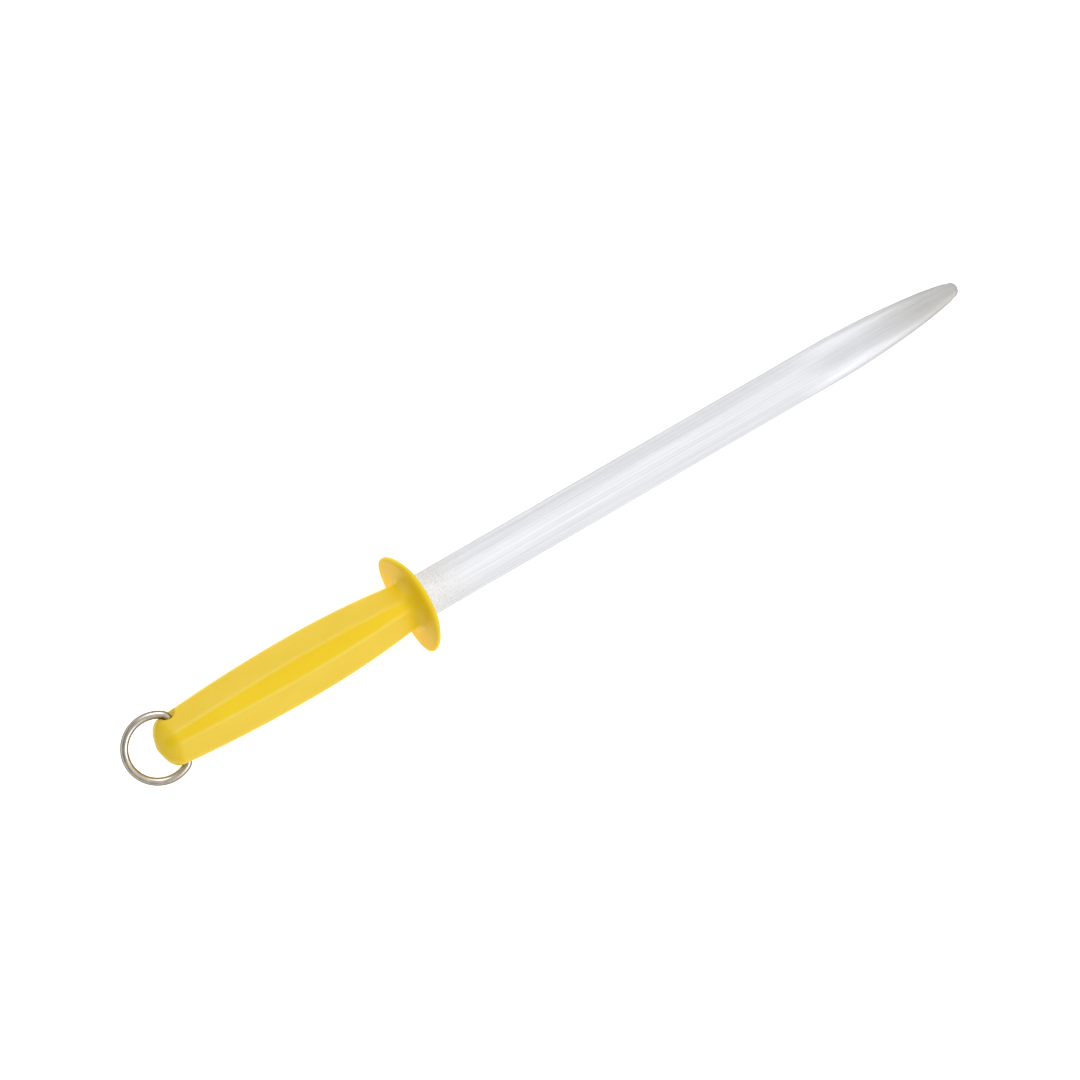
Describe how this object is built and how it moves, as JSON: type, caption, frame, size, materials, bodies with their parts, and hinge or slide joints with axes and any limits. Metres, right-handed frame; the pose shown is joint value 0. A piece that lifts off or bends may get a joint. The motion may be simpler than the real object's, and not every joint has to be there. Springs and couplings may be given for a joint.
{
  "type": "knife sharpening steel",
  "caption": "Butcher's sharpening steel: long oval blade with a rounded point, faceted moulded handle with an oval guard, and a wire hanging ring that swings in a cross hole.",
  "frame": {"origin": "centre of the guard's blade side, on the blade's axis", "axes": "+X along the blade to its tip, +Y along the blade's width, +Z out of the blade's broad face"},
  "size_m": [0.4546, 0.0478, 0.0402],
  "materials": {
    "steel_blade": "satin",
    "handle": "semi-gloss",
    "hanging_ring": "polished"
  },
  "bodies": {
    "steel": {"steel_blade": "steel_blade", "handle": "handle"},
    "ring": {"hanging_ring": "hanging_ring"}
  },
  "joints": [
    {"name": "ring_swing", "type": "hinge", "parent": "steel", "child": "ring", "pos_m": [-0.1294, 0, 0], "axis": [0, 0.9703, 0.2419], "range_deg": [-98, 150]}
  ]
}
